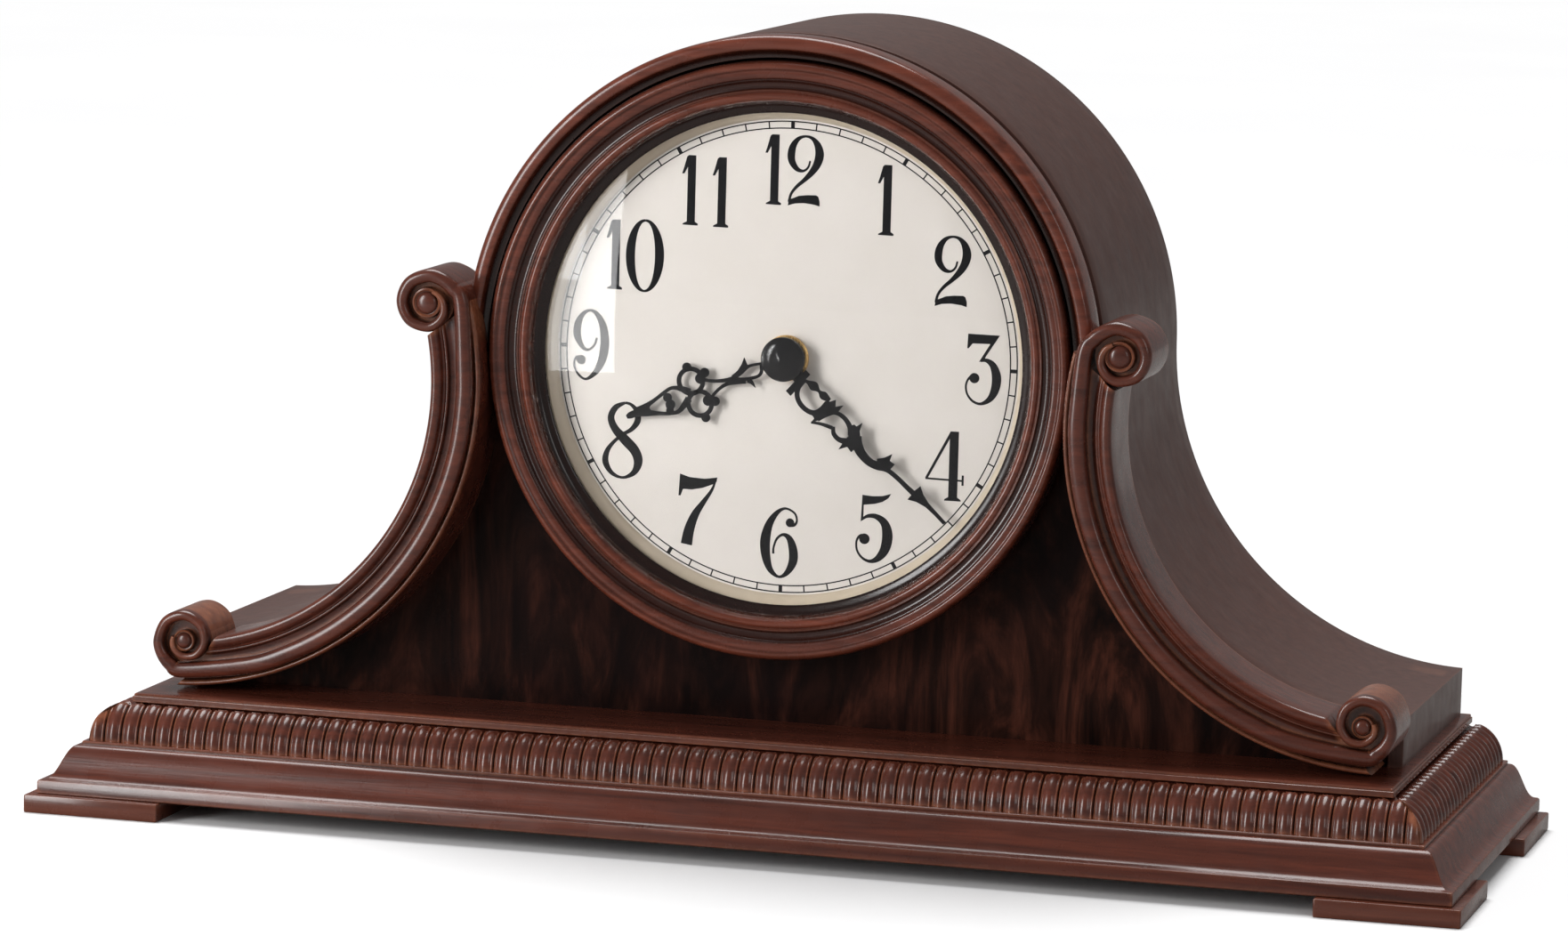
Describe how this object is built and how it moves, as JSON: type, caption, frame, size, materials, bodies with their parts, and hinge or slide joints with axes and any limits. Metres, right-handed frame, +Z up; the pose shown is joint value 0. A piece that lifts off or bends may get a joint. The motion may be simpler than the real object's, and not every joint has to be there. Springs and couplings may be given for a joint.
{
  "type": "mantel clock",
  "caption": "Wooden tambour mantel clock with carved scrolls, a reeded base, a domed glass, an ivory dial with black serpentine hands and a hinged rear door.",
  "frame": {"origin": "middle of the footprint, on the surface that the feet rest on", "axes": "+X to the right as seen from the front, +Y to the back, +Z up; the dial faces -Y"},
  "size_m": [0.54, 0.198, 0.298],
  "materials": {
    "cherry": "red-brown cherry lacquer with a dark glaze in the grooves",
    "foot_wood": "red-brown cherry lacquer, a little redder",
    "hood_wood": "brown satin cherry veneer",
    "burl_veneer": "dark swirled veneer under gloss lacquer",
    "back_board": "plain stained board",
    "glass": "clear domed glass",
    "dial_ivory": "ivory satin print",
    "dial_edge": "khaki satin ring",
    "black_lacquer": "black satin lacquer",
    "brass": "polished",
    "steel": "plain",
    "rubber": "matt",
    "black_plastic": "moulded, fine texture",
    "grey_plastic": "moulded, fine texture",
    "nylon": "natural nylon",
    "copper_wire": "enamelled copper wire",
    "circuit_board": "green solder mask",
    "cone_paper": "pressed paper pulp",
    "cell_wrap": "plain printed wrap with no lettering"
  },
  "bodies": {
    "case": {"base_board": "cherry", "cap_board": "cherry", "reeded_strip_front": "cherry", "reeded_strip_left": "cherry", "reeded_strip_right": "cherry", "scroll_left": "cherry", "scroll_right": "cherry", "bezel_ring": "cherry", "foot_front_left": "foot_wood", "foot_front_right": "foot_wood", "foot_rear_left": "foot_wood", "foot_rear_right": "foot_wood", "case_wrap": "hood_wood", "hood_arch": "hood_wood", "front_panel": "burl_veneer", "back_panel": "back_board", "glass_dome": "glass", "dial_plate": "dial_ivory", "dial_edge_ring": "dial_edge", "fixing_nut": "brass", "hinge_lower_case_leaf": "brass", "hinge_upper_case_leaf": "brass", "hinge_lower_pin": "steel", "hinge_upper_pin": "steel", "back_screw_1": "steel", "back_screw_2": "steel", "back_screw_3": "steel", "back_screw_4": "steel", "battery_contact": "steel", "motor_stator": "steel", "speaker_magnet": "steel", "rubber_washer": "rubber", "movement_housing": "black_plastic", "movement_cover": "black_plastic", "catch_magnet": "black_plastic", "speaker_frame": "black_plastic", "train_plate": "nylon", "motor_coil": "copper_wire", "circuit_board": "circuit_board", "speaker_cone": "cone_paper", "battery_cell_upper": "cell_wrap", "battery_cell_lower": "cell_wrap"},
    "rear_door": {"rear_door": "back_board", "door_knob": "brass", "catch_strike": "steel", "hinge_lower_door_leaf": "brass", "hinge_upper_door_leaf": "brass"},
    "minute_train": {"minute_arbor": "steel", "minute_hand": "black_lacquer", "hub_cap": "black_lacquer"},
    "hour_train": {"hour_wheel": "nylon", "hour_hand": "black_lacquer"},
    "intermediate_train": {"intermediate_wheel": "nylon", "set_knob": "grey_plastic"},
    "reduction_train": {"reduction_wheel": "nylon"},
    "rotor": {"motor_rotor": "steel"},
    "volume_knob": {"volume_knob": "grey_plastic"},
    "chime_selector": {"chime_selector": "grey_plastic"},
    "night_switch": {"night_switch": "grey_plastic"},
    "battery_cover": {"battery_cover": "grey_plastic"}
  },
  "joints": [
    {"name": "door_swing", "type": "hinge", "parent": "case", "child": "rear_door", "pos_m": [-0.07475, 0.094, 0.17825], "axis": [0, 0, 1], "range_deg": [0, 110]},
    {"name": "minute_spin", "type": "hinge", "parent": "case", "child": "minute_train", "pos_m": [0, -0.03, 0.17825], "axis": [0, 1, 0], "continuous": true},
    {"name": "hour_spin", "type": "hinge", "parent": "case", "child": "hour_train", "pos_m": [0, -0.028, 0.17825], "axis": [0, 1, 0], "continuous": true},
    {"name": "set_knob_spin", "type": "hinge", "parent": "case", "child": "intermediate_train", "pos_m": [0.008, -0.01, 0.17825], "axis": [0, 1, 0], "continuous": true},
    {"name": "reduction_spin", "type": "hinge", "parent": "case", "child": "reduction_train", "pos_m": [-0.0064, -0.014, 0.17825], "axis": [0, 1, 0], "continuous": true},
    {"name": "rotor_spin", "type": "hinge", "parent": "case", "child": "rotor", "pos_m": [-0.01319, -0.014, 0.18504], "axis": [0, 1, 0], "continuous": true},
    {"name": "volume_turn", "type": "hinge", "parent": "case", "child": "volume_knob", "pos_m": [0.032, 0.002, 0.19025], "axis": [0, 1, 0], "range_deg": [-135, 135]},
    {"name": "chime_slide", "type": "slide", "parent": "case", "child": "chime_selector", "axis": [1, 0, 0], "range_m": [0, 0.011]},
    {"name": "night_slide", "type": "slide", "parent": "case", "child": "night_switch", "axis": [1, 0, 0], "range_m": [0, 0.006]},
    {"name": "battery_cover_slide", "type": "slide", "parent": "case", "child": "battery_cover", "axis": [0, 0, -1], "range_m": [0, 0.034]}
  ],
  "couplings": [
    {"joint": "hour_spin", "follows": "minute_spin", "ratio": 0.083333},
    {"joint": "set_knob_spin", "follows": "minute_spin", "ratio": -0.33333},
    {"joint": "reduction_spin", "follows": "minute_spin", "ratio": -3},
    {"joint": "rotor_spin", "follows": "minute_spin", "ratio": 15}
  ]
}
